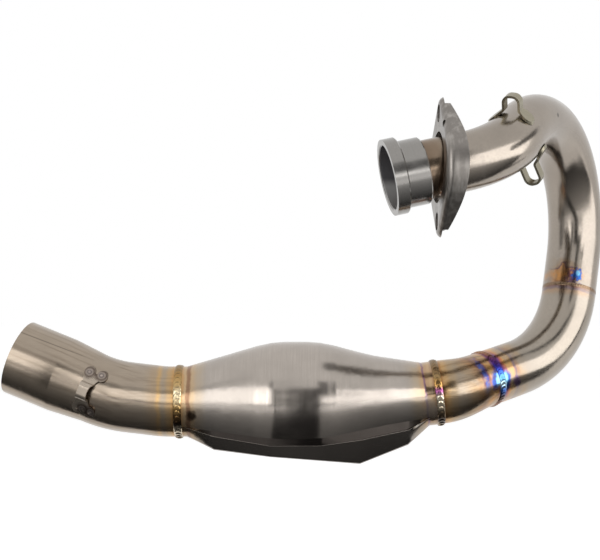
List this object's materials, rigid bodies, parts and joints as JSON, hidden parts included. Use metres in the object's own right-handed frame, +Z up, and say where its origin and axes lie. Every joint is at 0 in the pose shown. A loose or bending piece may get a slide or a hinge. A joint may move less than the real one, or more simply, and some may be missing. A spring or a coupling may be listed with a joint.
{
  "type": "motorcycle exhaust header",
  "caption": "Bent steel motorcycle exhaust header with a turned port collar, loose stud flange, welded resonance chamber, strap loops and an expanded outlet with a spring hook.",
  "frame": {"origin": "centre of the collar's open face, where the header meets the cylinder head", "axes": "+X forward on the bike, away from the cylinder head, +Y from the outer side towards the engine, +Z up"},
  "size_m": [0.4211, 0.1752, 0.2495],
  "materials": {
    "tube_steel": "satin brushed",
    "turned_steel": "turned",
    "pressed_plate": "dull grained",
    "strap_steel": "dull",
    "weld": "rippled, heat tinted"
  },
  "bodies": {
    "header": {"port_collar": "turned_steel", "front_bend": "tube_steel", "lower_bend": "tube_steel", "transition_tube": "tube_steel", "chamber_upper_shell": "tube_steel", "chamber_lower_shell": "tube_steel", "outlet_pipe": "tube_steel", "upright_weld": "weld", "joint_weld": "weld", "chamber_front_weld": "weld", "chamber_rear_weld": "weld", "upper_strap_loop": "strap_steel", "lower_strap_loop": "strap_steel", "outlet_spring_hook": "strap_steel"},
    "flange": {"port_flange": "pressed_plate"}
  },
  "joints": [
    {"name": "flange_slide", "type": "slide", "parent": "header", "child": "flange", "axis": [-0.97, -0.1167, -0.2133], "range_m": [-0.015, 0.0175]}
  ]
}
